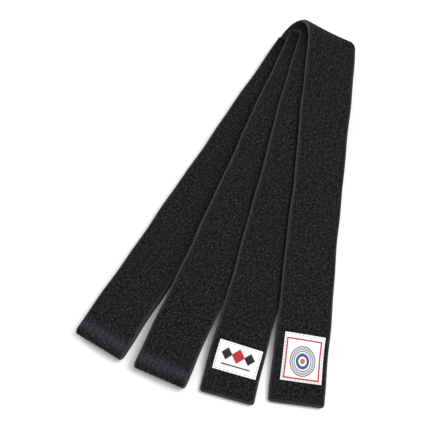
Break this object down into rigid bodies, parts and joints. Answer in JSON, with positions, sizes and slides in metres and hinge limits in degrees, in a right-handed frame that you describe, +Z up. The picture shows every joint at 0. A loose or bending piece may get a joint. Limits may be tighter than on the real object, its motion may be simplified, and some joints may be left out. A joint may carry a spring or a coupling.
{
  "type": "martial arts belt",
  "caption": "Black quilted cotton martial arts belt, laid folded and fanned out, with turned-back bights, sewn ends and plain woven labels.",
  "frame": {"origin": "centre of the belt's footprint, on the surface it lies on", "axes": "+Z up out of that surface, +Y along the fan's middle line towards the folded end, +X towards the top end"},
  "size_m": [0.2096, 0.3734, 0.0293],
  "materials": {
    "cover_cotton": "matt woven black cotton",
    "core_interlining": "raw cotton interlining",
    "quilting_thread": "black polyester lockstitch",
    "seam_thread": "black polyester lockstitch",
    "woven_label": "white damask-woven polyester",
    "label_thread": "white polyester stitches"
  },
  "bodies": {
    "folded_stack": {"cover_outer_run": "cover_cotton", "core_ply_1_outer_run": "core_interlining", "core_ply_2_outer_run": "core_interlining", "core_ply_3_outer_run": "core_interlining", "needle_threads_outer_run": "quilting_thread", "bobbin_threads_outer_run": "quilting_thread", "cover_middle_run": "cover_cotton", "core_ply_1_middle_run": "core_interlining", "core_ply_2_middle_run": "core_interlining", "core_ply_3_middle_run": "core_interlining", "needle_threads_middle_run": "quilting_thread", "bobbin_threads_middle_run": "quilting_thread", "cover_inner_run": "cover_cotton", "core_ply_1_inner_run": "core_interlining", "core_ply_2_inner_run": "core_interlining", "core_ply_3_inner_run": "core_interlining", "needle_threads_inner_run": "quilting_thread", "bobbin_threads_inner_run": "quilting_thread"},
    "left_bight": {"cover_left_bight": "cover_cotton", "core_ply_1_left_bight": "core_interlining", "core_ply_2_left_bight": "core_interlining", "core_ply_3_left_bight": "core_interlining", "needle_threads_left_bight": "quilting_thread", "bobbin_threads_left_bight": "quilting_thread"},
    "middle_bight": {"cover_middle_bight": "cover_cotton", "core_ply_1_middle_bight": "core_interlining", "core_ply_2_middle_bight": "core_interlining", "core_ply_3_middle_bight": "core_interlining", "needle_threads_middle_bight": "quilting_thread", "bobbin_threads_middle_bight": "quilting_thread"},
    "under_end": {"cover_under_end": "cover_cotton", "core_ply_1_under_end": "core_interlining", "core_ply_2_under_end": "core_interlining", "core_ply_3_under_end": "core_interlining", "needle_threads_under_end": "quilting_thread", "bobbin_threads_under_end": "quilting_thread", "closing_seams_under_end": "seam_thread", "wide_label": "woven_label", "wide_label_stitching": "label_thread"},
    "top_leg": {"cover_top_leg": "cover_cotton", "core_ply_1_top_leg": "core_interlining", "core_ply_2_top_leg": "core_interlining", "core_ply_3_top_leg": "core_interlining", "needle_threads_top_leg": "quilting_thread", "bobbin_threads_top_leg": "quilting_thread"},
    "top_end": {"cover_top_end": "cover_cotton", "core_ply_1_top_end": "core_interlining", "core_ply_2_top_end": "core_interlining", "core_ply_3_top_end": "core_interlining", "needle_threads_top_end": "quilting_thread", "bobbin_threads_top_end": "quilting_thread", "closing_seams_top_end": "seam_thread", "tall_label": "woven_label", "tall_label_stitching": "label_thread"}
  },
  "joints": [
    {"name": "left_bight_lift", "type": "hinge", "parent": "folded_stack", "child": "left_bight", "pos_m": [-0.06818, -0.10611, 0.00902], "axis": [-0.9798, 0.2002, 0], "range_deg": [0, 90]},
    {"name": "middle_bight_lift", "type": "hinge", "parent": "folded_stack", "child": "middle_bight", "pos_m": [-0.02044, -0.11277, 0.01837], "axis": [-0.9977, 0.0671, 0], "range_deg": [0, 90]},
    {"name": "under_end_lift", "type": "hinge", "parent": "folded_stack", "child": "under_end", "pos_m": [0.02497, -0.11243, 0.01393], "axis": [-0.9977, -0.0671, 0], "range_deg": [0, 90]},
    {"name": "top_leg_lift", "type": "hinge", "parent": "folded_stack", "child": "top_leg", "pos_m": [0.027, 0.1044, 0.02934], "axis": [-0.9798, -0.2002, 0], "range_deg": [0, 90]},
    {"name": "top_end_lift", "type": "hinge", "parent": "top_leg", "child": "top_end", "pos_m": [0.07045, -0.10612, 0.00938], "axis": [-0.9798, -0.2002, 0], "range_deg": [0, 90]}
  ]
}
